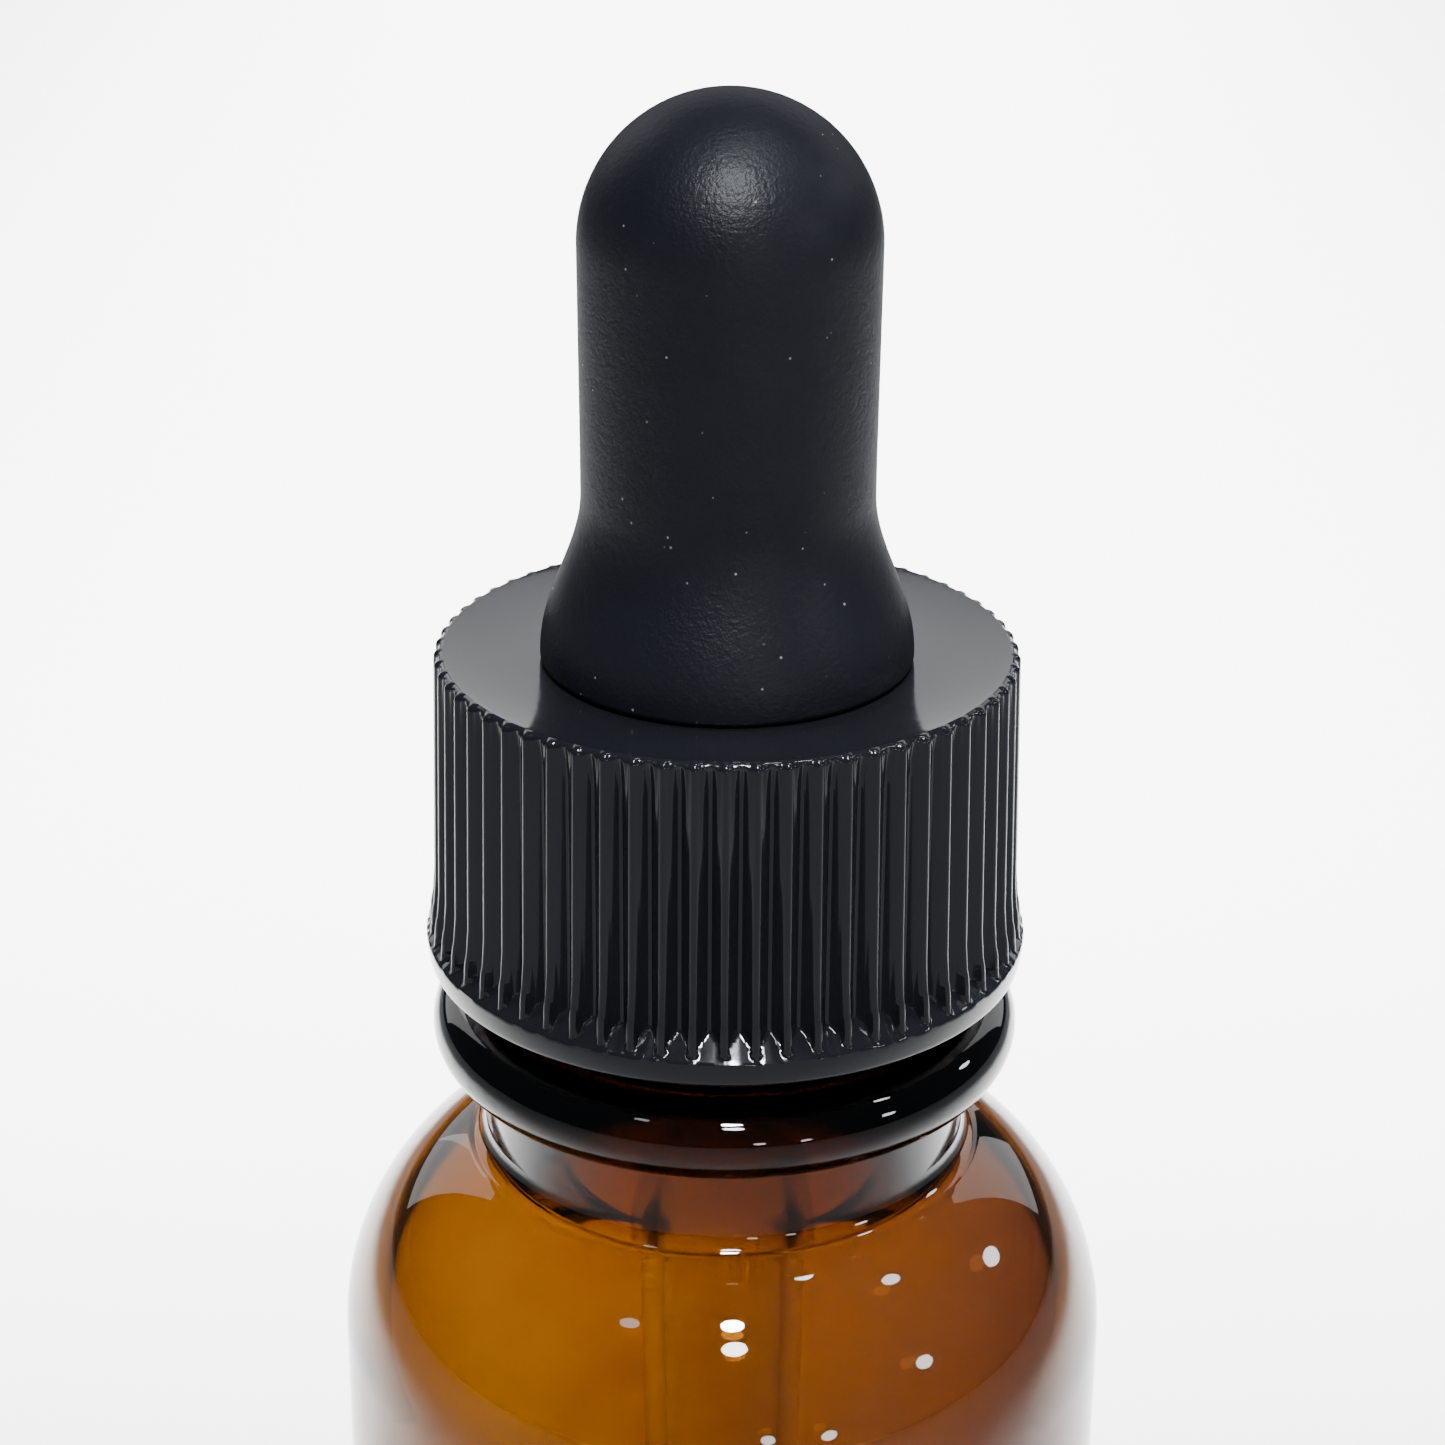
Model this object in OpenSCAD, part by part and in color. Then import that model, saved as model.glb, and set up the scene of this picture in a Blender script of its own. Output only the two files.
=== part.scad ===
// Amber glass dropper bottle: a round bottle with a screw finish, a ribbed screw cap,
// a rubber squeeze bulb whose flange seals the bottle, and a glass pipette.
// Millimetres, +Z up, origin at the centre of the bottle's base, on the table.

/* [Bottle] */
// Height of the bottle from its base to its lip
bottle_h = 78.5; // [76:0.5:84]
// Outer diameter of the bottle's body
body_d = 33; // [32:0.5:35]
// Height at which the straight body ends and the shoulder begins
body_top = 50.7; // [48:0.1:52]
// Radius of the shoulder's round, seen from the side
shoulder_r = 10; // [9.5:0.1:10.5]
// Thickness of the body's glass
glass_t = 1.9; // [1.5:0.1:2.4]
// Radius of the round at the heel
heel_r = 2.7; // [2:0.1:3.2]
// Rise of the push-up in the middle of the base
push_up = 1.2; // [0.8:0.1:1.6]

/* [Neck] */
// Diameter of the neck's bore
bore_d = 12.6; // [11.6:0.1:13.2]
// Diameter of the neck between the threads
neck_d = 17.6; // [17.4:0.1:17.8]
// Diameter of the waist below the transfer bead
waist_d = 20.2; // [19.8:0.1:20.6]
// Diameter over the transfer bead
bead_d = 24.66; // [24.2:0.02:25]
// Thickness of the transfer bead
bead_t = 3.3; // [3:0.1:3.6]
// Height of the transfer bead's middle
bead_z = 65.45; // [65:0.05:66]

/* [Thread] */
// Pitch of the screw thread
pitch = 3.175; // [3.175]
// Height of the bottle's thread ridge above the neck
ridge_h = 1.05; // [0.9:0.05:1.1]
// Sweep of the bottle's thread ridge, in degrees
ridge_sweep = 430; // [400:5:440]
// Height of the lower end of the bottle's thread ridge
ridge_z = 72.4; // [72:0.1:73]
// Gap between the pressed flanks of the two threads
flank_gap = 0.2; // [0.15:0.05:0.3]

/* [Cap] */
// Diameter over the ribs at the cap's rim
cap_d = 23.8; // [23.6:0.1:24.2]
// Height of the cap
cap_h = 13.6; // [13.3:0.1:13.9]
// Diameter over the smooth band at the foot of the cap
band_d = 25; // [24.8:0.1:25.4]
// Height of the smooth band below the ribs
band_h = 1.75; // [1.4:0.05:2]
// Thickness of the cap's top
cap_top_t = 1.4; // [1.2:0.1:1.6]
// Depth of the shallow dish in the cap's top
dish = 0.45; // [0.3:0.05:0.6]
// Number of ribs round the cap
rib_count = 62; // [48:1:72]
// Width of the groove between two ribs, at its mouth
groove_w = 0.78; // [0.6:0.02:0.86]
// Depth of the groove between two ribs
groove_depth = 0.4; // [0.3:0.05:0.5]
// Inner diameter of the cap's skirt
skirt_bore = 20.3; // [20.2:0.1:20.5]
// Diameter of the hole in the cap's top
cap_hole_d = 13.6; // [13.2:0.1:13.8]

/* [Rubber bulb] */
// Height of the bulb above the cap's top
bulb_h = 23.2; // [21:0.1:26]
// Diameter of the bulb's dome
dome_d = 11.92; // [11.6:0.02:12.4]
// Diameter of the bulb where it is slimmest
slim_d = 11.78; // [11.4:0.02:11.9]
// Diameter of the bulb's foot on the cap
foot_d = 15.16; // [14.8:0.02:15.6]
// Height of the flare from the foot to the slim part
flare_h = 7.05; // [6:0.05:8]
// Thickness of the bulb's wall
bulb_t = 1.5; // [1.2:0.1:1.6]
// Thickness of the sealing flange under the cap's top
flange_t = 1.8; // [1.6:0.1:2]
// Diameter of the sealing flange
flange_d = 18.6; // [18:0.1:19]

/* [Pipette] */
// Outer diameter of the glass tube
tube_d = 7; // [6.8:0.1:7.2]
// Inner diameter of the glass tube
tube_bore = 5; // [4.6:0.1:5.2]
// Height of the tip above the table
tip_z = 9.2; // [8.4:0.1:12]
// Outer diameter of the tip
tip_d = 2.8; // [2.4:0.1:3.2]
// Inner diameter of the tip
tip_bore = 1.3; // [1:0.1:1.6]
// Length of the taper to the tip
taper_l = 10; // [8:0.5:14]
// Diameter of the flared head inside the bulb
head_d = 8.2; // [8:0.1:8.4]

/* [Hidden] */
$fn = 64;

amber = [0.55, 0.25, 0.04, 0.75];
black_plastic = [0.05, 0.05, 0.06];
black_rubber = [0.11, 0.12, 0.14];
clear_glass = [0.85, 0.9, 0.92, 0.5];

seat_gap = 0.05; // between faces of two pieces that rest on each other
bore_gap = 0.05; // round the tube in the bulb's neck
hole_gap = 0.15; // round the bulb's neck in the cap's hole
ridge_root_w = 1.8; // width of the bottle's thread ridge at the neck
ridge_crest_w = 0.8; // width of the bottle's thread ridge at its crest

body_r = body_d / 2;
neck_r = neck_d / 2;
waist_r = waist_d / 2;
bore_r = bore_d / 2;
bead_r = bead_t / 2;
bead_c = bead_d / 2 - bead_r; // radius of the bead's centre line

face_z = bottle_h + flange_t + cap_top_t; // the dished face that the bulb stands on
rim_z = face_z + dish;
skirt_z = rim_z - cap_h;
rib_z = skirt_z + band_h; // foot of the ribs

dome_r = dome_d / 2;
slim_r = slim_d / 2;
foot_r = foot_d / 2;
dome_z = face_z + bulb_h - dome_r;
hollow_z = face_z + 2.2; // floor of the bulb's hollow
head_z = hollow_z + 1.1; // widest level of the pipette's head

// Points on a circle's arc from angle a0 to angle a1, both ends included.
function arc(c, r, a0, a1, n = 12) =
    [for (i = [0 : n]) let (a = a0 + (a1 - a0) * i / n) c + r * [cos(a), sin(a)]];

// Height above c of the centre of a fillet that touches the circle (c, r) and the line x.
function fillet_rise(c, r, fillet, x) = sqrt(pow(r + fillet, 2) - pow(x + fillet - c, 2));

// A ridge with a trapezium section, wound up a right-handed helix on the wall of radius wall_r.
// A positive height points outward, a negative one inward, and both ends fade into the wall.
module thread_ridge(wall_r, height, root_w, crest_w, sweep, start_z, start_a = 0) {
    step = 10;
    fade = 30;
    sunk = 0.3;
    steps = ceil(sweep / step);
    side = sign(height);
    foot_w = root_w + (root_w - crest_w) * sunk / abs(height);
    section = [[0, -foot_w / 2], [1, -crest_w / 2], [1, crest_w / 2], [0, foot_w / 2]];
    function crest(a) = height * (1.15 * min(1, a / fade, (sweep - a) / fade) - 0.15);
    points = [for (i = [0 : steps]) let (a = i * sweep / steps) for (p = section)
        let (r = wall_r + (p[0] == 1 ? crest(a) : -side * sunk))
            [r * cos(a + start_a), r * sin(a + start_a), start_z + pitch * a / 360 + p[1]]];
    walls = [for (i = [0 : steps - 1]) for (k = [0 : 3]) let (m = (k + 1) % 4)
        each [[i * 4 + k, i * 4 + m, i * 4 + 4 + m], [i * 4 + k, i * 4 + 4 + m, i * 4 + 4 + k]]];
    faces = concat([[3, 2, 1, 0]], walls, [[for (k = [0 : 3]) steps * 4 + k]]);
    polyhedron(points, side > 0 ? faces : [for (f = faces) [for (k = [len(f) - 1 : -1 : 0]) f[k]]]);
}

// Outside of the bottle, from the middle of the base to the lip.
function bottle_outside() =
    let (
        ring_in = 11.4,
        push_r = (ring_in * ring_in + push_up * push_up) / (2 * push_up),
        push_c = [0, push_up - push_r],
        heel_c = [body_r - heel_r, heel_r],
        shoulder_c = [body_r - shoulder_r, body_top],
        crease = 1.2,
        crease_c = [waist_r + crease,
                    body_top + fillet_rise(shoulder_c[0], shoulder_r, crease, waist_r)],
        crease_a = atan2(crease_c[1] - body_top, crease_c[0] - shoulder_c[0]),
        under = 0.6,
        under_c = [waist_r + under, bead_z - fillet_rise(bead_c, bead_r, under, waist_r)],
        under_a = atan2(under_c[1] - bead_z, under_c[0] - bead_c),
        over_c = [neck_r + under, bead_z + fillet_rise(bead_c, bead_r, under, neck_r)],
        over_a = atan2(over_c[1] - bead_z, over_c[0] - bead_c),
        lip = 0.8
    )
    concat(
        arc(push_c, push_r, 90, 90 - asin(ring_in / push_r), 8),
        arc(heel_c, heel_r, -90, 0),
        arc(shoulder_c, shoulder_r, 0, crease_a, 20),
        arc(crease_c, crease, 180 + crease_a, 180, 8),
        arc(under_c, under, 180, 180 + under_a, 8),
        arc([bead_c, bead_z], bead_r, under_a, over_a, 20),
        arc(over_c, under, over_a - 180, -180, 8),
        arc([neck_r - lip, bottle_h - lip], lip, 0, 90, 8)
    );

// Inside of the bottle, from the lip down to the middle of the floor.
function bottle_inside() =
    let (
        lip = 0.6,
        corner = 3.5,
        room_r = body_r - glass_t,
        vault_r = shoulder_r - glass_t,
        vault_c = [room_r - vault_r, body_top],
        corner_c = [bore_r + corner, body_top + fillet_rise(vault_c[0], vault_r, corner, bore_r)],
        corner_a = atan2(corner_c[1] - body_top, corner_c[0] - vault_c[0]),
        floor_z = 3.2,
        floor_corner = 2.6,
        floor_r = room_r - floor_corner,
        floor_rise = 0.8,
        dome = (floor_r * floor_r + floor_rise * floor_rise) / (2 * floor_rise)
    )
    concat(
        arc([bore_r + lip, bottle_h - lip], lip, 90, 180, 8),
        arc(corner_c, corner, 180, 180 + corner_a, 10),
        arc(vault_c, vault_r, corner_a, 0, 20),
        arc([floor_r, floor_z + floor_corner], floor_corner, 0, -90),
        arc([0, floor_z + floor_rise - dome], dome, 90 - asin(floor_r / dome), 90, 8)
    );

module glass_bottle() {
    color(amber) {
        rotate_extrude() polygon(concat(bottle_outside(), bottle_inside()));
        thread_ridge(neck_r, ridge_h, ridge_root_w, ridge_crest_w, ridge_sweep, ridge_z);
    }
}

// Outside of the cap, from the top of its hole round to the foot of its skirt.
function cap_outside() =
    let (
        edge = 0.35,
        crest_r = cap_d / 2 - edge,
        sweep_r = 23,
        sweep_a = acos(1 - dish / sweep_r),
        wall_r = cap_d / 2 + 0.22,
        flare_z = rim_z - 9.75,
        belly = 5,
        belly_c = [band_d / 2 - belly, skirt_z + 1.15],
        foot_r = 0.3,
        foot_c = belly_c + (belly - foot_r) * [cos(10), -sin(10)]
    )
    concat(
        [[cap_hole_d / 2, face_z]],
        arc([crest_r - sweep_r * sin(sweep_a), face_z + sweep_r], sweep_r, -90, sweep_a - 90, 6),
        arc([crest_r, rim_z - edge], edge, 90, 0, 6),
        [[wall_r, flare_z]],
        arc(belly_c, belly, 18, -10, 8),
        arc(foot_c, foot_r, -10, -90, 4)
    );

module grooves() {
    mouth_r = cap_d / 2;
    half = [[mouth_r - groove_depth, 0.08], [mouth_r, groove_w / 2], [mouth_r + 1.6, groove_w / 2 + 0.18]];
    mirrored = [for (i = [2 : -1 : 0]) [half[i][0], -half[i][1]]];
    foot_z = rib_z - 0.62;
    foot_r = band_d / 2 + 0.01;
    run = 1.02; // height of the sloping shoulder where the grooves run out
    difference() {
        for (i = [0 : rib_count - 1])
            rotate([0, 0, i * 360 / rib_count]) translate([0, 0, foot_z])
                linear_extrude(cap_h) polygon(concat(half, mirrored));
        translate([0, 0, foot_z - 0.05])
            cylinder(h = run + 0.05, r1 = foot_r + 0.052, r2 = foot_r - run * 1.04);
    }
}

module screw_cap() {
    skirt_r = skirt_bore / 2;
    mouth = 0.6; // lead-in at the skirt's mouth
    outside = cap_outside();
    foot = outside[len(outside) - 1];
    ceiling = face_z - cap_top_t + seat_gap;
    inside = [[skirt_r + mouth, foot[1]], [skirt_r, foot[1] + mouth],
              [skirt_r, ceiling], [cap_hole_d / 2, ceiling]];
    height = 1;
    root_w = 1.5;
    crest_w = 0.7;
    reach = (skirt_r - height - neck_r) / ridge_h; // where its crest meets the bottle's flank
    drop = (ridge_root_w + (ridge_crest_w - ridge_root_w) * reach + crest_w) / 2 + flank_gap;
    start = 10;
    color(black_plastic) difference() {
        union() {
            rotate_extrude() polygon(concat(outside, inside));
            thread_ridge(skirt_r, -height, root_w, crest_w, 400,
                         ridge_z - drop + pitch * start / 360, start);
        }
        grooves();
    }
}

// Outside of the bulb, from its sealing flange up to the top of its dome.
function bulb_outside() =
    let (
        neck = cap_hole_d / 2 - hole_gap,
        corner = 0.3,
        flange_r = flange_d / 2,
        foot_z = face_z + seat_gap,
        rise = foot_r - slim_r,
        slim_z = face_z + flare_h + 1.8
    )
    concat(
        [[flange_r - corner, bottle_h + seat_gap]],
        arc([flange_r - corner, bottle_h + seat_gap + corner], corner, -90, 0, 4),
        [[flange_r, bottle_h + flange_t], [neck, bottle_h + flange_t], [neck, foot_z]],
        arc([foot_r - corner, foot_z + corner], corner, -90, 0, 5),
        [for (i = [1 : 16]) let (u = 1 - i / 16)
            [slim_r + rise * (1 - cos(180 * u)) / 2, foot_z + corner + (flare_h - corner) * (1 - u)]],
        [[slim_r, slim_z]],
        arc([0, dome_z], dome_r, 0, 90, 20)
    );

// Inside of the bulb, from the top of its hollow down to the mouth of its neck.
function bulb_inside() =
    let (
        hollow_r = slim_r - bulb_t,
        grip_r = tube_d / 2 + bore_gap,
        corner = 0.8
    )
    concat(
        arc([0, dome_z], hollow_r, 90, 0, 16),
        arc([hollow_r - corner, hollow_z + corner], corner, 0, -90, 4),
        [[grip_r, hollow_z], [grip_r, bottle_h + seat_gap]]
    );

module rubber_bulb() {
    color(black_rubber) rotate_extrude() polygon(concat(bulb_outside(), bulb_inside()));
}

// Radius of the tube where it is drawn down: narrow at u = 0, wide at u = 1.
function tube_width(u, wide, narrow) = narrow + (wide - narrow) * (1 - cos(180 * u)) / 2;

// The section's outside goes up from the tip and its inside comes down.
module glass_pipette() {
    tube_r = tube_d / 2;
    head_r = head_d / 2;
    bore = tube_bore / 2;
    end_r = 0.25;
    straight = 1.6; // length of the parallel tip
    rows = 14;
    head_t = head_r - tube_r;
    color(clear_glass) rotate_extrude() polygon(concat(
        arc([tip_d / 2 - end_r, tip_z + end_r], end_r, -90, 0, 4),
        [for (i = [0 : rows]) [tube_width(i / rows, tube_r, tip_d / 2),
                               tip_z + straight + taper_l * i / rows]],
        [[tube_r, head_z - head_t - 0.3]],
        arc([head_r - 0.6, head_z], 0.6, -60, 90, 8),
        [[bore + 0.3, head_z + 0.6], [bore, head_z + 0.3]],
        [for (i = [rows : -1 : 0]) [tube_width(i / rows, bore, tip_bore / 2),
                                    tip_z + straight + taper_l * i / rows]],
        [[tip_bore / 2, tip_z]]
    ));
}

glass_bottle();
screw_cap();
rubber_bulb();
glass_pipette();
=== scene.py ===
"""An amber dropper bottle in a plain studio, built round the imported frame."""

import math

import bpy
import numpy as np
from mathutils import Euler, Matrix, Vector

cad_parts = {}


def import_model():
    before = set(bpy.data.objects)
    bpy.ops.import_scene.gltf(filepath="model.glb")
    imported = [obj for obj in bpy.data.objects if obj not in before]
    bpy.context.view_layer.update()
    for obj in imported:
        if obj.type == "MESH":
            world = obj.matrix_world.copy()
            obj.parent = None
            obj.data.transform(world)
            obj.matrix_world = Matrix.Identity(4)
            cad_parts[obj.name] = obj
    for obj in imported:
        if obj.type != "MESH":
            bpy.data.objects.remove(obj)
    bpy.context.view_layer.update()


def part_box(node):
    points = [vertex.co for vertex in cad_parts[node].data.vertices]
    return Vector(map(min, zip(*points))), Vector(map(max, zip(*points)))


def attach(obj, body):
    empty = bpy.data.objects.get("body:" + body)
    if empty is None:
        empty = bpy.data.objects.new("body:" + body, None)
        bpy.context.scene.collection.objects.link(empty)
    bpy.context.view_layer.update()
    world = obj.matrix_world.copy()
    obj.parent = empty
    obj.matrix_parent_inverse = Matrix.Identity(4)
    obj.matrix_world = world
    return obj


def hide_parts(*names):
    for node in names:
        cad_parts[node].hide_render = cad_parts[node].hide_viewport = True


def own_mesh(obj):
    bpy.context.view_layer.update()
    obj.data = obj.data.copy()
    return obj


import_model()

MM = 0.001
RNG = np.random.default_rng(7)

# ---------------------------------------------------------------- sizes, in millimetres
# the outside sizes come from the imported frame, and the others are the CAD's own
BOTTLE_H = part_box("glass_bottle")[1][2] / MM
BODY_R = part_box("glass_bottle")[1][0] / MM
BULB_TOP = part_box("rubber_bulb")[1][2] / MM
RIM_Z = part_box("screw_cap")[1][2] / MM
SKIRT_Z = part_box("screw_cap")[0][2] / MM
BAND_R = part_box("screw_cap")[1][0] / MM
HEAD_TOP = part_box("glass_pipette")[1][2] / MM
TIP_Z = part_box("glass_pipette")[0][2] / MM

# bottle
NECK_R, WAIST_R, BORE_R = 8.8, 10.1, 6.3
BEAD_R, BEAD_C, BEAD_Z = 1.65, 10.68, 65.45
BODY_TOP, SHOULDER_R, GLASS_T = 50.7, 10.0, 1.9
HEEL_R, PUSH_UP = 2.7, 1.2

# the bottle's thread ridge, and its gap to the cap's
PITCH = 3.175
THREAD_Z, THREAD_SWEEP = 72.4, 430
THREAD_H, THREAD_ROOT, THREAD_CREST = 1.05, 1.8, 0.8
FLANK_GAP = 0.2

# cap
DISH = 0.45
FACE_Z = RIM_Z - DISH
CAP_R = 11.9
CAP_TOP_T = 1.4
CAP_HOLE_R = 6.8
SKIRT_R = 10.15
RIB_COUNT, GROOVE_W, GROOVE_DEPTH = 62, 0.78, 0.4
RIB_Z = SKIRT_Z + 1.75

# bulb
DOME_R, SLIM_R, FOOT_R, FLARE_H = 5.96, 5.89, 7.58, 7.05
DOME_Z = BULB_TOP - DOME_R
HOLLOW_Z = FACE_Z + 2.2
PINCH_FROM = 85.5

# gap where two pieces sit on each other, and how near counts as the same radius
SEAT = 0.05
SAME = 1e-6


# ---------------------------------------------------------------- mesh helpers
def arc(c, r, a0, a1, n=24):
    """Points on a circle's arc from angle a0 to a1, in degrees."""
    a = np.radians(np.linspace(a0, a1, n + 1))
    return [(c[0] + r * math.cos(t), c[1] + r * math.sin(t)) for t in a]


def resample(points, step):
    """The same outline, with no side longer than step."""
    out = [points[0]]
    for p, q in zip(points, points[1:]):
        n = max(1, math.ceil(math.dist(p, q) / step))
        out += [
            (p[0] + (q[0] - p[0]) * i / n, p[1] + (q[1] - p[1]) * i / n)
            for i in range(1, n + 1)
        ]
    return out


def lathe(name, outline, turns=192, closed=True, shape=None, start=0.0):
    """Turns an outline of (radius, height) round Z, with its first point at the start angle.

    shape(r, z, angle) may change the radii. A closed outline has its last point joined
    to its first."""
    pts = np.array(outline, float)
    angles = start + np.linspace(0, 2 * math.pi, turns, endpoint=False)
    r = np.repeat(pts[:, 0][:, None], turns, 1)
    z = np.repeat(pts[:, 1][:, None], turns, 1)
    if shape:
        r, z = shape(r, z, np.repeat(angles[None, :], len(pts), 0))
    poles = pts[:, 0] < SAME
    verts, index = [], np.zeros((len(pts), turns), int)
    count = 0
    for i in range(len(pts)):
        if poles[i]:
            verts.append([[0.0, 0.0, pts[i, 1]]])
            index[i] = count
            count += 1
        else:
            verts.append(np.stack([r[i] * np.cos(angles), r[i] * np.sin(angles), z[i]], 1))
            index[i] = np.arange(count, count + turns)
            count += turns
    verts = np.concatenate([np.array(v) for v in verts]) * MM
    faces = []
    rows = len(pts) if closed else len(pts) - 1
    for i in range(rows):
        j = (i + 1) % len(pts)
        if poles[i] and poles[j]:
            continue
        for k in range(turns):
            m = (k + 1) % turns
            if poles[i]:
                faces.append((index[i, 0], index[j, m], index[j, k]))
            elif poles[j]:
                faces.append((index[i, k], index[i, m], index[j, 0]))
            else:
                faces.append((index[i, k], index[i, m], index[j, m], index[j, k]))
    mesh = bpy.data.meshes.new(name)
    mesh.from_pydata(verts.tolist(), [], [tuple(int(v) for v in f) for f in faces])
    mesh.validate()
    mesh.update()
    mesh.polygons.foreach_set("use_smooth", [True] * len(mesh.polygons))
    obj = bpy.data.objects.new(name, mesh)
    bpy.context.scene.collection.objects.link(obj)
    bpy.context.view_layer.update()
    return obj


def sharpen(obj, degrees):
    """Keeps edges steeper than this sharp in the shading."""
    obj.data.set_sharp_from_angle(angle=math.radians(degrees))


# ---------------------------------------------------------------- materials
class Mat:
    """A small helper round one material's node tree."""

    def __init__(self, name):
        self.m = bpy.data.materials.new(name)
        self.m.use_nodes = True
        self.t = self.m.node_tree
        self.bsdf = self.t.nodes["Principled BSDF"]
        self.out = self.t.nodes["Material Output"]

    def node(self, kind, **props):
        n = self.t.nodes.new(kind)
        for k, v in props.items():
            setattr(n, k, v)
        return n

    def link(self, a, b):
        self.t.links.new(a, b)

    def set(self, **values):
        for k, v in values.items():
            self.bsdf.inputs[k.replace("_", " ")].default_value = v

    def coords(self):
        return self.node("ShaderNodeTexCoord").outputs["Object"]

    def noise(self, scale, detail, rough):
        n = self.node("ShaderNodeTexNoise")
        n.inputs["Scale"].default_value = scale
        n.inputs["Detail"].default_value = detail
        n.inputs["Roughness"].default_value = rough
        self.link(self.coords(), n.inputs["Vector"])
        return n.outputs["Fac"]

    def ramp(self, value, stops):
        """A colour ramp; each stop is a position with a colour or a grey."""
        n = self.node("ShaderNodeValToRGB")
        while len(n.color_ramp.elements) < len(stops):
            n.color_ramp.elements.new(0.5)
        for e, (p, c) in zip(n.color_ramp.elements, stops):
            e.position = p
            e.color = c if isinstance(c, tuple) else (c, c, c, 1)
        self.link(value, n.inputs["Fac"])
        return n.outputs["Color"]

    def bump(self, height, strength, distance, normal=None):
        n = self.node("ShaderNodeBump")
        n.inputs["Strength"].default_value = strength
        n.inputs["Distance"].default_value = distance
        self.link(height, n.inputs["Height"])
        if normal:
            self.link(normal, n.inputs["Normal"])
        return n.outputs["Normal"]

    def mix(self, fac, a, b, blend="MIX"):
        n = self.node("ShaderNodeMix", data_type="RGBA", blend_type=blend)
        for sock, v in ((n.inputs[0], fac), (n.inputs[6], a), (n.inputs[7], b)):
            if isinstance(v, (float, int, tuple)):
                sock.default_value = v
            else:
                self.link(v, sock)
        return n.outputs[2]


def rubber_material():
    """Matt black rubber: its sheen is a thin rough coat, over a fine pebble and some dust."""
    dark, light = (0.0074, 0.0076, 0.0118, 1), (0.0106, 0.0109, 0.0162, 1)
    dust_colour = (0.34, 0.32, 0.30, 1)
    m = Mat("black_rubber")
    m.set(IOR=1.3, Specular_IOR_Level=0.0, Coat_Weight=0.17, Coat_Roughness=0.40, Coat_IOR=2.2)
    cloud = m.noise(260, 4, 0.6)
    base = m.ramp(cloud, [(0.3, dark), (0.75, light)])
    specks = m.node("ShaderNodeTexVoronoi", feature="F1")
    specks.inputs["Scale"].default_value = 1500
    m.link(m.coords(), specks.inputs["Vector"])
    near = m.ramp(specks.outputs["Distance"], [(0.05, 1.0), (0.10, 0.0)])
    rare = m.ramp(m.noise(700, 1, 0.5), [(0.56, 0.0), (0.60, 1.0)])
    dust = m.mix(1.0, near, rare, "MULTIPLY")
    m.link(m.mix(dust, base, dust_colour), m.bsdf.inputs["Base Color"])
    rough = m.ramp(m.noise(900, 3, 0.6), [(0.25, 0.50), (0.8, 0.62)])
    m.link(rough, m.bsdf.inputs["Roughness"])
    grain = m.noise(7000, 2, 0.6)
    pebble = m.noise(2900, 2, 0.5)
    n = m.bump(pebble, 0.22, 0.00011)
    n = m.bump(grain, 0.42, 0.00007, n)
    m.link(n, m.bsdf.inputs["Normal"])
    m.link(n, m.bsdf.inputs["Coat Normal"])
    return m.m


def cap_material():
    """Glossy black plastic with a slightly wavy moulded skin."""
    dark, light = (0.0095, 0.0100, 0.0130, 1), (0.0125, 0.0132, 0.0165, 1)
    m = Mat("black_gloss_plastic")
    m.set(IOR=1.5, Specular_IOR_Level=0.5)
    cloud = m.noise(180, 3, 0.6)
    base = m.ramp(cloud, [(0.3, dark), (0.8, light)])
    m.link(base, m.bsdf.inputs["Base Color"])
    rough = m.ramp(m.noise(420, 4, 0.65), [(0.3, 0.10), (0.8, 0.18)])
    m.link(rough, m.bsdf.inputs["Roughness"])
    fine = m.noise(1500, 3, 0.6)
    wave = m.noise(170, 2, 0.5)
    n = m.bump(wave, 0.10, 0.0002)
    m.link(m.bump(fine, 0.06, 0.00005, n), m.bsdf.inputs["Normal"])
    return m.m


def amber_material():
    """Amber glass: its surface tints a little and its body absorbs the rest.

    Its colour is painted yellower on the -X side of the bottle and browner on the +X side, with
    random cloudiness mixed in: painted light coming through one side and painted shade on the
    other."""
    lit_side_golden, amber = (0.88, 0.76, 0.20, 1), (0.65, 0.48, 0.24, 1)
    shaded_side_brown = (0.56, 0.46, 0.66, 1)
    absorbed, density = (0.55, 0.38, 0.0, 1), 1120
    m = Mat("amber_glass")
    m.set(IOR=1.5, Roughness=0.015, Transmission_Weight=1.0)
    # painted light and shade: the colour runs from a lit yellow on the -X side to a shaded brown
    # on the +X side, mixed with random cloudiness
    side = m.node("ShaderNodeSeparateXYZ")
    m.link(m.coords(), side.inputs[0])
    across = m.node("ShaderNodeMapRange")
    across.inputs["From Min"].default_value = -BODY_R * MM
    across.inputs["From Max"].default_value = BODY_R * MM
    m.link(side.outputs[0], across.inputs["Value"])
    lit_side_and_cloud = m.mix(0.45, across.outputs[0], m.noise(110, 3, 0.6))
    base = m.ramp(lit_side_and_cloud, [(0.25, lit_side_golden), (0.5, amber), (0.72, shaded_side_brown)])
    m.link(base, m.bsdf.inputs["Base Color"])
    ripple = m.noise(95, 2, 0.5)
    m.link(m.bump(ripple, 0.18, 0.0004), m.bsdf.inputs["Normal"])
    body = m.node("ShaderNodeVolumeAbsorption")
    body.inputs["Color"].default_value = absorbed
    body.inputs["Density"].default_value = density
    m.link(body.outputs["Volume"], m.out.inputs["Volume"])
    return m.m


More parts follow.
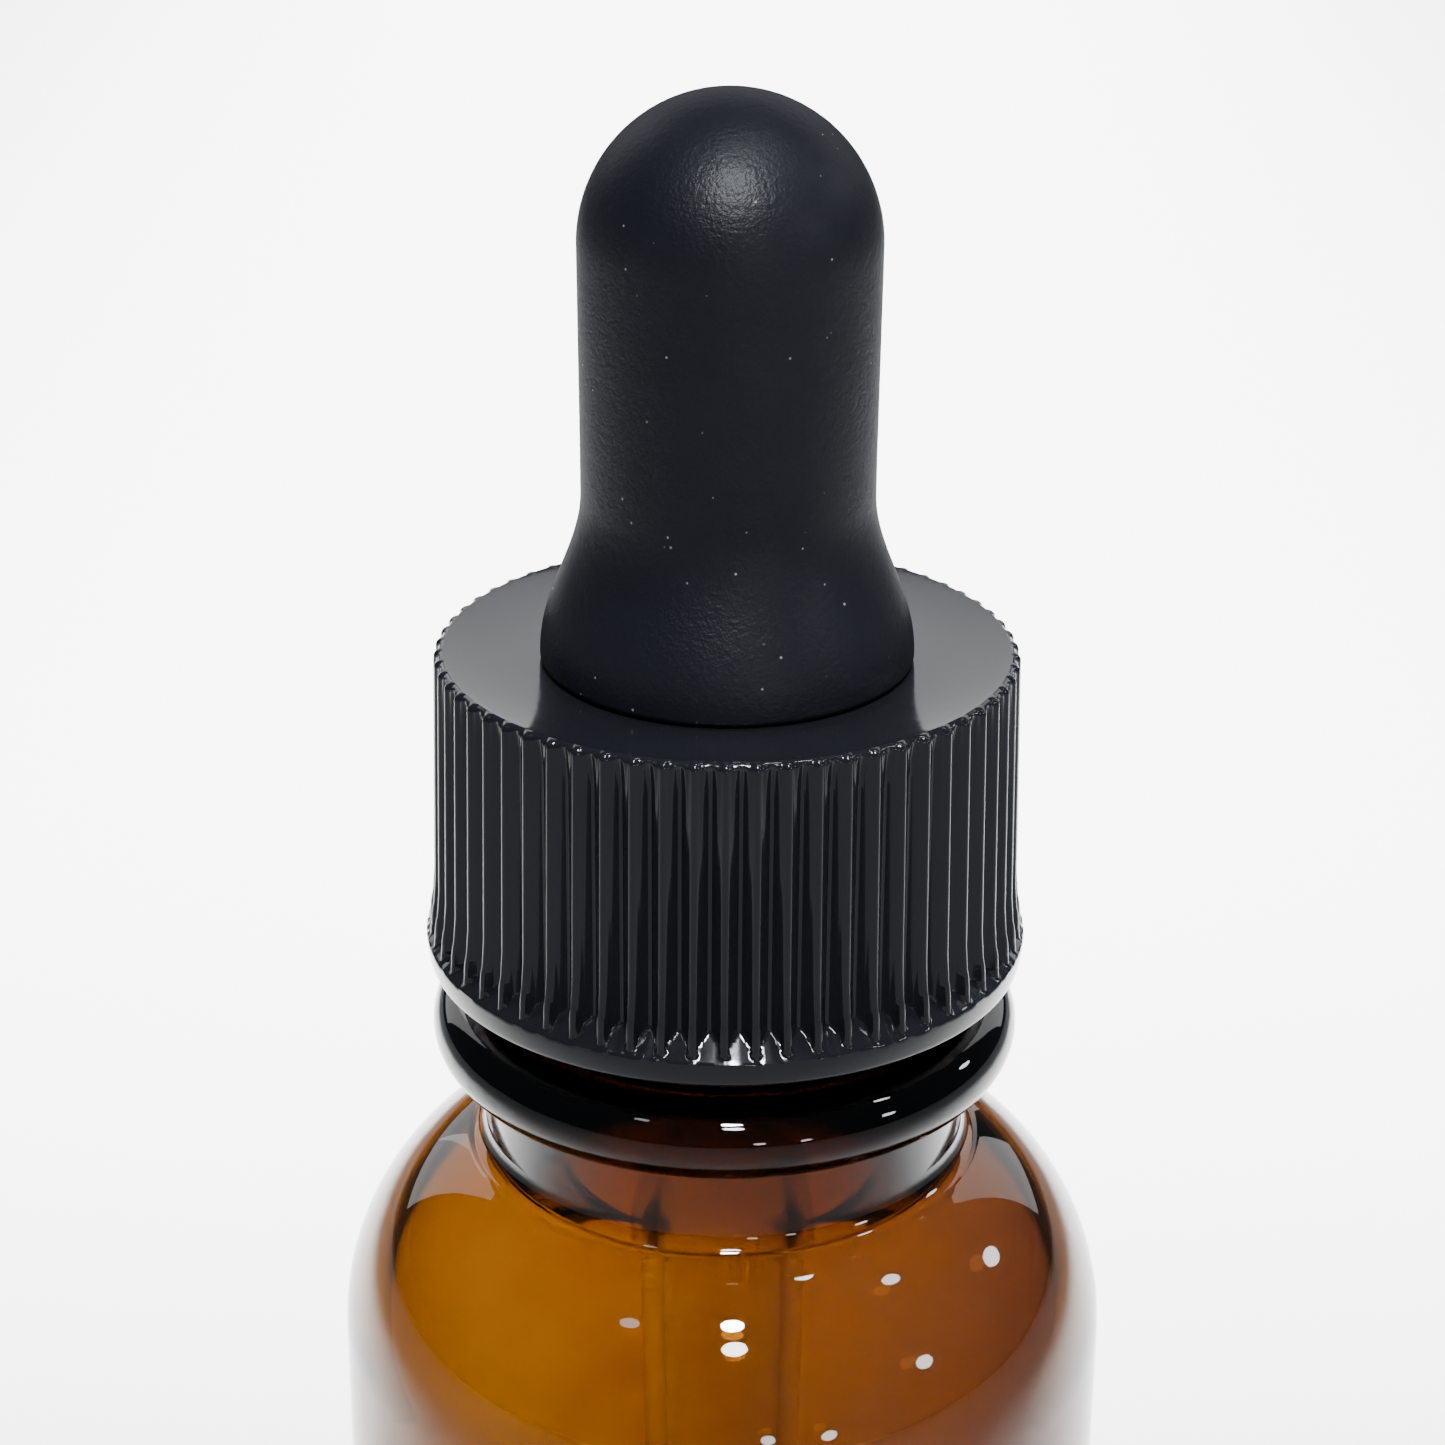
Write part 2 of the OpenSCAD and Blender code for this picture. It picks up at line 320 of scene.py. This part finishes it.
def clear_material():
    """Clear glass with a faint green cast."""
    deep, pale = (0.95, 0.97, 0.965, 1), (0.97, 0.985, 0.98, 1)
    m = Mat("clear_glass")
    m.set(IOR=1.5, Roughness=0.01, Transmission_Weight=1.0)
    base = m.ramp(m.noise(60, 2, 0.5), [(0.3, deep), (0.8, pale)])
    m.link(base, m.bsdf.inputs["Base Color"])
    m.link(m.bump(m.noise(120, 1, 0.5), 0.05, 0.0002), m.bsdf.inputs["Normal"])
    return m.m


# ---------------------------------------------------------------- glass bottle
def rise(c, r, fillet, x):
    """Height above c of the centre of a fillet that touches the circle (c, r) and the line x."""
    return math.sqrt((r + fillet) ** 2 - (x + fillet - c) ** 2)


def ridge(angle, z, start_z, sweep, root_w, crest_w, start=0.0):
    """How much of a helical thread ridge stands at this angle and height, from 0 to 1."""
    full = np.zeros_like(z)
    for turn in range(-1, 3):
        a = np.degrees(angle) - start + 360 * turn
        middle = start_z + PITCH * a / 360
        off = np.abs(z - middle)
        slope = np.clip((root_w / 2 - off) / ((root_w - crest_w) / 2), 0, 1)
        slope = slope * slope * (3 - 2 * slope)
        fade = np.clip(np.minimum(a, sweep - a) / 30, 0, 1)
        full = np.maximum(full, slope * fade)
    return full


def bottle():
    ring = 11.4  # radius of the ring that the bottle stands on
    push_r = (ring**2 + PUSH_UP**2) / (2 * PUSH_UP)
    sh_c = (BODY_R - SHOULDER_R, BODY_TOP)
    crease = 1.2  # round between the shoulder and the waist
    cr_c = (WAIST_R + crease, BODY_TOP + rise(sh_c[0], SHOULDER_R, crease, WAIST_R))
    cr_a = math.degrees(math.atan2(cr_c[1] - BODY_TOP, cr_c[0] - sh_c[0]))
    under = 0.6  # round on either side of the bead
    un_c = (WAIST_R + under, BEAD_Z - rise(BEAD_C, BEAD_R, under, WAIST_R))
    un_a = math.degrees(math.atan2(un_c[1] - BEAD_Z, un_c[0] - BEAD_C))
    ov_c = (NECK_R + under, BEAD_Z + rise(BEAD_C, BEAD_R, under, NECK_R))
    ov_a = math.degrees(math.atan2(ov_c[1] - BEAD_Z, ov_c[0] - BEAD_C))
    push_a = math.degrees(math.asin(ring / push_r))
    outside = arc((0, PUSH_UP - push_r), push_r, 90, 90 - push_a, 12)
    outside += arc((BODY_R - HEEL_R, HEEL_R), HEEL_R, -90, 0, 14)
    outside += resample([(BODY_R, HEEL_R), (BODY_R, BODY_TOP)], 2.0)[1:-1]
    outside += arc(sh_c, SHOULDER_R, 0, cr_a, 40)
    outside += arc(cr_c, crease, 180 + cr_a, 180, 12)
    outside += arc(un_c, under, 180, 180 + un_a, 10)
    outside += arc((BEAD_C, BEAD_Z), BEAD_R, un_a, ov_a, 36)
    outside += arc(ov_c, under, ov_a - 180, -180, 10)
    lip = 0.8  # round on the outside of the lip, and then on its inside
    outside += resample([(NECK_R, ov_c[1]), (NECK_R, BOTTLE_H - lip)], 0.12)[1:-1]
    outside += arc((NECK_R - lip, BOTTLE_H - lip), lip, 0, 90, 10)
    lip = 0.6
    room_r = BODY_R - GLASS_T
    vault_r = SHOULDER_R - GLASS_T
    va_c = (room_r - vault_r, BODY_TOP)
    throat = 3.5  # round where the bore opens into the bottle
    co_c = (BORE_R + throat, BODY_TOP + rise(va_c[0], vault_r, throat, BORE_R))
    co_a = math.degrees(math.atan2(co_c[1] - BODY_TOP, co_c[0] - va_c[0]))
    floor_z, corner, lift = 3.2, 2.6, 0.8  # the floor inside, its round edge and its rise
    floor_r = room_r - corner
    dome = (floor_r**2 + lift**2) / (2 * lift)
    dome_a = math.degrees(math.asin(floor_r / dome))
    inside = arc((BORE_R + lip, BOTTLE_H - lip), lip, 90, 180, 8)
    inside += resample([(BORE_R, BOTTLE_H - lip), (BORE_R, co_c[1])], 2.0)[1:-1]
    inside += arc(co_c, throat, 180, 180 + co_a, 24)
    inside += arc(va_c, vault_r, co_a, 0, 36)
    inside += resample([(room_r, BODY_TOP), (room_r, floor_z + corner)], 2.0)[1:-1]
    inside += arc((floor_r, floor_z + corner), corner, 0, -90, 14)
    inside += arc((0, floor_z + lift - dome), dome, 90 - dome_a, 90, 12)

    finish_from = 69  # the thread is above this height

    def thread(r, z, angle):
        finish = (np.abs(r - NECK_R) < SAME) & (z > finish_from) & (z < BOTTLE_H - 0.5)
        full = ridge(angle, z, THREAD_Z, THREAD_SWEEP, THREAD_ROOT, THREAD_CREST)
        return np.where(finish, r + THREAD_H * full, r), z

    obj = lathe("amber_bottle", outside + inside, 256, False, thread)
    obj.data.materials.append(amber_material())
    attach(obj, "bottle")
    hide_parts("glass_bottle")
    return obj


# ---------------------------------------------------------------- screw cap
def cap():
    edge = 0.35  # round on the rim
    crest_r = CAP_R - edge
    sweep_r = 23.0  # the top is dished with this radius
    sweep_a = math.degrees(math.acos(1 - DISH / sweep_r))
    wall_r = CAP_R + 0.22
    flare_z = RIM_Z - 9.75
    belly = 5.0  # radius of the band's bulging side
    be_c = (BAND_R - belly, SKIRT_Z + 1.15)
    foot_r = 0.3
    c10, s10 = math.cos(math.radians(10)), math.sin(math.radians(10))
    fo_c = (be_c[0] + (belly - foot_r) * c10, be_c[1] - (belly - foot_r) * s10)
    hole_edge = 0.15
    outline = arc((CAP_HOLE_R + hole_edge, FACE_Z - hole_edge), hole_edge, 180, 90, 4)
    dish_r = crest_r - sweep_r * math.sin(math.radians(sweep_a))
    outline += [(dish_r, FACE_Z)]
    outline += arc((dish_r, FACE_Z + sweep_r), sweep_r, -90, sweep_a - 90, 16)[1:-1]
    outline += arc((crest_r, RIM_Z - edge), edge, 90 + sweep_a, 0, 16)
    outline += resample([(CAP_R, RIM_Z - edge), (wall_r, flare_z)], 0.7)[1:]
    side = arc(be_c, belly, 18, -10, 28)
    upper = [p for p in side if p[1] > RIB_Z + 0.02]
    lower = [p for p in side if p[1] <= RIB_Z + 0.02]
    at = math.degrees(math.asin((RIB_Z - be_c[1]) / belly))
    ledge_r = be_c[0] + belly * math.cos(math.radians(at))
    outline += upper + [(ledge_r, RIB_Z)] + lower
    last_shaped = len(outline) - 1
    outline += arc(fo_c, foot_r, -10, -90, 8)[1:]
    foot_z = outline[-1][1]
    mouth = 0.6  # lead-in at the skirt's mouth
    ceiling = FACE_Z - CAP_TOP_T + SEAT
    outline += [(SKIRT_R + mouth, foot_z), (SKIRT_R, foot_z + mouth)]
    outline += resample([(SKIRT_R, foot_z + mouth), (SKIRT_R, ceiling)], 0.14)[1:]
    outline += [(CAP_HOLE_R, ceiling), (CAP_HOLE_R, FACE_Z - 0.6)]
    turns = RIB_COUNT * 16
    ragged = RNG.normal(0, 0.022, RIB_COUNT * 4)
    ragged_at = np.linspace(0, 2 * math.pi, RIB_COUNT * 4, endpoint=False)

    floor_r = CAP_R - GROOVE_DEPTH
    half_groove = GROOVE_W / 2
    per = 2 * math.pi / RIB_COUNT
    groove_across = [0.0, 0.08, half_groove, half_groove + 0.18]
    groove_r = [floor_r, floor_r + 0.01, CAP_R, CAP_R + 1.6]
    shallow_run, shallow = 0.9, 0.26  # the groove gets shallow over this height, by this much
    crown_depth = 0.14
    back_run, back_depth = 2.4, 0.13
    softness = 0.045
    run_out, steepness = 0.3, 1.1  # the band's shoulder starts this far up, and slopes so much

    def ribs(r, z, angle):
        off = (angle + per / 2) % per - per / 2
        across = np.abs(off) * CAP_R
        limit = np.interp(across, groove_across, groove_r)
        # towards the rim the groove gets shallow, so the rim stays nearly round
        up = np.clip((z - RIM_Z + shallow_run) / shallow_run, 0, 1)
        limit = limit + up**2 * shallow
        # a rib's face is crowned and stands back a little from the band
        rib_half = per * CAP_R / 2 - half_groove
        crown = crown_depth * np.clip(1 - (across - half_groove) / rib_half, 0, 1) ** 2
        back = back_depth * (1 - np.clip((z - RIB_Z) / back_run, 0, 1)) ** 2
        # and meets the groove in a soft edge: a smooth minimum of the two
        face = -crown - back
        groove = np.clip(limit - r, -2, 2)
        blend = np.exp(-face / softness) + np.exp(-groove / softness)
        soft = -softness * np.log(blend) + r
        # ribs and grooves end on the band's sloping, slightly ragged shoulder
        top = RIB_Z + run_out + np.interp(angle, ragged_at, ragged, period=2 * math.pi)
        slope = floor_r + (top - z) * steepness
        cut = np.minimum(r, np.maximum(np.clip(soft, floor_r, None), slope))
        rows = np.arange(r.shape[0])[:, None] * np.ones_like(r)
        outer = (rows <= last_shaped) & (r > floor_r)
        return np.where(outer, cut, r)

    height, root_w, crest_w, sweep, start = 1.0, 1.5, 0.7, 400, 10  # the cap's own ridge
    # where its crest meets the flank of the bottle's ridge, and how far below that it runs
    reach = (SKIRT_R - height - NECK_R) / THREAD_H
    drop = (THREAD_ROOT - reach * (THREAD_ROOT - THREAD_CREST) + crest_w) / 2 + FLANK_GAP
    ridge_z = THREAD_Z - drop + PITCH * start / 360

    def shape(r, z, angle):
        r = ribs(r, z, angle)
        wall = (np.abs(r - SKIRT_R) < SAME) & (z > foot_z + mouth + 0.1)
        full = ridge(angle, z, ridge_z, sweep, root_w, crest_w, start)
        return np.where(wall, r - height * full, r), z

    obj = lathe("ribbed_cap", outline, turns, True, shape)
    sharpen(obj, 42)
    obj.data.materials.append(cap_material())
    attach(obj, "cap")
    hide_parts("screw_cap")
    return obj


# ---------------------------------------------------------------- rubber bulb
def bulb():
    edge = 0.3  # round on the flange and on the foot
    neck = CAP_HOLE_R - 0.15
    flange_r, flange_z = 9.3, BOTTLE_H + 1.8
    base_z = BOTTLE_H + SEAT
    foot_z = FACE_Z + SEAT
    slim_z = FACE_Z + FLARE_H + 1.8
    grip = 3.55  # radius of the socket that holds the pipette's head
    hollow = SLIM_R - 1.5
    corner = 0.8  # round at the bottom of the hollow
    rows = 40
    out = [(flange_r - edge, base_z)]
    out += arc((flange_r - edge, base_z + edge), edge, -90, 0, 6)
    out += [(flange_r, flange_z), (neck, flange_z), (neck, foot_z)]
    out += arc((FOOT_R - edge, foot_z + edge), edge, -90, 0, 10)
    for i in range(1, rows + 1):
        u = 1 - i / rows
        flare = (FOOT_R - SLIM_R) * (1 - math.cos(math.pi * u)) / 2
        out.append((SLIM_R + flare, foot_z + edge + (FLARE_H - edge) * (1 - u)))
    side = [(SLIM_R, foot_z + FLARE_H), (SLIM_R, slim_z), (DOME_R, DOME_Z)]
    out += resample(side, 0.4)[1:-1]
    out += arc((0, DOME_Z), DOME_R, 0, 90, 40)
    ins = arc((0, DOME_Z), hollow, 90, 0, 24)
    ins += resample([(hollow, DOME_Z), (hollow, HOLLOW_Z + corner)], 0.5)[1:-1]
    ins += arc((hollow - corner, HOLLOW_Z + corner), corner, 0, -90, 6)
    ins += [(grip, HOLLOW_Z), (grip, base_z)]
    out[-1] = (0.0, out[-1][1])
    ins[0] = (0.0, ins[0][1])
    # started half a step round, so that no point of its side lies at X = 0, where pinch()
    # would have nothing to divide by
    turns = 192
    obj = lathe("squeeze_bulb", out + ins, turns, True, start=math.pi / turns)
    sharpen(obj, 45)
    obj.data.materials.append(rubber_material())
    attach(obj, "pipette")
    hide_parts("rubber_bulb")
    return obj


def pinch(obj, low, high):
    """Presses the bulb in between two heights as the joint moves, with the rest held still.

    This modifier keeps the rest shape in an attribute, mixes the points back to it away
    from the pinch, and lets the pinched part bulge along Y."""
    # how much each height is pinched, in even steps from low to high
    shares = [0, 0.18, 0.6, 0.93, 1.0, 0.86, 0.6, 0.4, 0.3]
    bulge = 0.34
    mesh = obj.data
    rest = mesh.attributes.new("rest", "FLOAT_VECTOR", "POINT")
    co = np.zeros(len(mesh.vertices) * 3, np.float32)
    mesh.vertices.foreach_get("co", co)
    rest.data.foreach_set("vector", co)
    z = co.reshape(-1, 3)[:, 2] / MM
    w = np.interp(z, np.linspace(low, high, len(shares)), shares)
    weight = mesh.attributes.new("pinch", "FLOAT", "POINT")
    weight.data.foreach_set("value", w.astype(np.float32))
    tree = bpy.data.node_groups.new("pinch", "GeometryNodeTree")
    tree.interface.new_socket("Geometry", in_out="INPUT", socket_type="NodeSocketGeometry")
    tree.interface.new_socket("Geometry", in_out="OUTPUT", socket_type="NodeSocketGeometry")
    n, link = tree.nodes, tree.links
    source, sink = n.new("NodeGroupInput"), n.new("NodeGroupOutput")

    def math_node(op, a, b):
        m = n.new("ShaderNodeMath")
        m.operation = op
        for s, v in zip(m.inputs, (a, b)):
            if isinstance(v, (int, float)):
                s.default_value = v
            else:
                link.new(v, s)
        return m.outputs[0]

    def named(name, kind):
        a = n.new("GeometryNodeInputNamedAttribute")
        a.data_type = kind
        a.inputs["Name"].default_value = name
        return a.outputs[0]

    def split(v):
        s = n.new("ShaderNodeSeparateXYZ")
        link.new(v, s.inputs[0])
        return s.outputs

    now = split(n.new("GeometryNodeInputPosition").outputs[0])
    was = split(named("rest", "FLOAT_VECTOR"))
    share = named("pinch", "FLOAT")
    moved = math_node("SUBTRACT", now[0], was[0])
    x = math_node("ADD", was[0], math_node("MULTIPLY", moved, share))
    far = math_node("ABSOLUTE", moved, 0.0)
    wide = math_node("MAXIMUM", math_node("ABSOLUTE", was[0], 0.0), 1e-5)
    flat = math_node("DIVIDE", far, wide)
    swell = math_node("MULTIPLY", math_node("MULTIPLY", flat, share), bulge)
    grow = math_node("ADD", 1.0, swell)
    y = math_node("MULTIPLY", was[1], grow)
    join = n.new("ShaderNodeCombineXYZ")
    link.new(x, join.inputs[0])
    link.new(y, join.inputs[1])
    link.new(was[2], join.inputs[2])
    place = n.new("GeometryNodeSetPosition")
    link.new(source.outputs[0], place.inputs["Geometry"])
    link.new(join.outputs[0], place.inputs["Position"])
    link.new(place.outputs[0], sink.inputs[0])
    obj.modifiers.new("pinch", "NODES").node_group = tree
    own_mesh(obj)


# ---------------------------------------------------------------- glass pipette
def pipette():
    tube, bore, tip, tip_bore = 3.5, 2.5, 1.4, 0.65
    head_edge, tip_edge, mouth = 0.6, 0.25, 0.3
    head_r, head_z = 4.1, HEAD_TOP - head_edge
    rows, taper, straight = 36, 10.0, 1.6
    taper_z = TIP_Z + straight

    def tapered(wide, narrow):
        """The points of one side of the taper, from the tip up."""
        points = []
        for i in range(rows + 1):
            u = i / rows
            r = narrow + (wide - narrow) * (1 - math.cos(math.pi * u)) / 2
            points.append((r, taper_z + taper * i / rows))
        return points

    out = arc((tip - tip_edge, TIP_Z + tip_edge), tip_edge, -90, 0, 6)
    out += tapered(tube, tip)
    out += resample([out[-1], (tube, head_z - 0.9)], 3.0)[1:]
    out += arc((head_r - head_edge, head_z), head_edge, -60, 90, 14)
    out += [(bore + mouth, HEAD_TOP), (bore, HEAD_TOP - mouth)]
    out += resample([(bore, HEAD_TOP - mouth), (bore, taper_z + taper)], 3.0)[1:-1]
    out += tapered(bore, tip_bore)[::-1]
    out += [(tip_bore, TIP_Z)]
    obj = lathe("pipette_tube", out, 96, True)
    obj.data.materials.append(clear_material())
    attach(obj, "pipette")
    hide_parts("glass_pipette")
    return obj


squeeze = bulb()
pinch(squeeze, PINCH_FROM, BULB_TOP)
PIECES = [bottle(), cap(), squeeze, pipette()]


# ---------------------------------------------------------------- floor, light and camera
def floor():
    mesh = bpy.data.meshes.new("floor")
    s = 8.0  # half its side, in metres
    mesh.from_pydata([(-s, -s, 0), (s, -s, 0), (s, s, 0), (-s, s, 0)], [], [(0, 1, 2, 3)])
    obj = bpy.data.objects.new("floor", mesh)
    bpy.context.scene.collection.objects.link(obj)
    m = Mat("pale_floor")
    m.set(Roughness=0.9, Base_Color=(0.62, 0.62, 0.62, 1))
    mesh.materials.append(m.m)


def area(name, at, look, size, power, shape="RECTANGLE", size_y=None, color=(1, 1, 1)):
    """An area light at a place, aimed at another, that the camera doesn't see."""
    data = bpy.data.lights.new(name, "AREA")
    data.shape = shape
    data.size = size
    if size_y:
        data.size_y = size_y
    data.energy = power
    data.color = color
    obj = bpy.data.objects.new(name, data)
    obj.location = at
    obj.rotation_euler = (Vector(look) - Vector(at)).to_track_quat("-Z", "Y").to_euler()
    obj.visible_camera = False
    bpy.context.scene.collection.objects.link(obj)
    return obj


def world(color, strength):
    w = bpy.data.worlds.new("studio")
    bpy.context.scene.world = w
    w.use_nodes = True
    bg = w.node_tree.nodes["Background"]
    bg.inputs["Color"].default_value = color
    bg.inputs["Strength"].default_value = strength


def out_of_sight(light):
    """Keeps a light out of reflections and out of what shows through glass."""
    light.visible_glossy = False
    light.visible_transmission = False


ON_PIECES = bpy.data.collections.new("lit_by_lamps")
for piece in PIECES:
    ON_PIECES.objects.link(piece)


SHOULDER_AT = (0, 0, 0.058)


def lamp(name, azimuth, elevation, size, radiance):
    """A small round lamp in a direction from the shoulder: azimuth from -Y towards +X."""
    far, a, e = 0.6, math.radians(azimuth), math.radians(elevation)
    out = far * math.cos(e)
    at = (out * math.sin(a), -out * math.cos(a), SHOULDER_AT[2] + far * math.sin(e))
    power = radiance * math.pi * math.pi * size * size / 4
    obj = area(name, at, SHOULDER_AT, size, power, "DISK", color=(0.93, 0.97, 1.0))
    obj.light_linking.receiver_collection = ON_PIECES


floor()
world((0.72, 0.83, 1.0, 1), 0.08)
# behind: the sheen on the cap's top and on the shoulder
area("back_panel", (-0.1, 1.5, 0.66), (0, 0, 0.1), 1.7, 7.5, size_y=1.0)
# a soft haze where the shoulder's sides meet the neck
for hand, x in (("left", -0.98), ("right", 0.98)):
    side = area(hand + "_panel", (x, 1.22, 0.66), (0, 0, 0.08), 0.5, 2.6, size_y=1.0)
    side.visible_transmission = False
# a bright floor behind the bottle, which shows through its glass
glow = area("floor_glow", (0, 0.37, 0.14), (0, 0.37, 0), 0.32, 8.6, size_y=0.66)
out_of_sight(glow)
glow.data.spread = math.radians(100)
# soft light on the whole floor
over = area("overhead", (0, 0.3, 2.2), (0, 0.3, 0), 5.0, 52, color=(0.88, 0.94, 1.0))
out_of_sight(over)
# the small round lamps that show in the glass: azimuth, elevation, size in metres, radiance
LAMPS = [
    (5, 62, 0.06, 330),
    (5, 51, 0.07, 90),
    (83, 74, 0.045, 50),
    (105, 83, 0.045, 40),
    (88, 53, 0.05, 26),
    (110, 25, 0.065, 22),
    (65, 21, 0.06, 26),
    (-43, 56, 0.05, 8),
    (13, 9, 0.045, 20),
    (30, 7, 0.045, 20),
]
for i, (az, el, size, radiance) in enumerate(LAMPS):
    lamp(f"lamp_{i}", az, el, size, radiance)

# where the camera stands, in metres, and how far it looks down and aside and rolls, in degrees
CAMERA_AT = (0, -0.12833, 0.13512)
CAMERA_LENS = 85.28
LOOK_DOWN, LOOK_ASIDE, ROLL = 23.73, 0.075, 0.4

cam_data = bpy.data.cameras.new("camera")
cam_data.sensor_width = 36
cam_data.lens = CAMERA_LENS
cam_data.clip_start = 0.01
cam = bpy.data.objects.new("camera", cam_data)
cam.location = CAMERA_AT
tilt = Euler((math.radians(90 - LOOK_DOWN), 0, math.radians(LOOK_ASIDE)), "XYZ").to_matrix()
roll = Euler((0, 0, math.radians(ROLL)), "XYZ").to_matrix()
cam.rotation_euler = (tilt @ roll).to_euler()
bpy.context.scene.collection.objects.link(cam)
bpy.context.scene.camera = cam
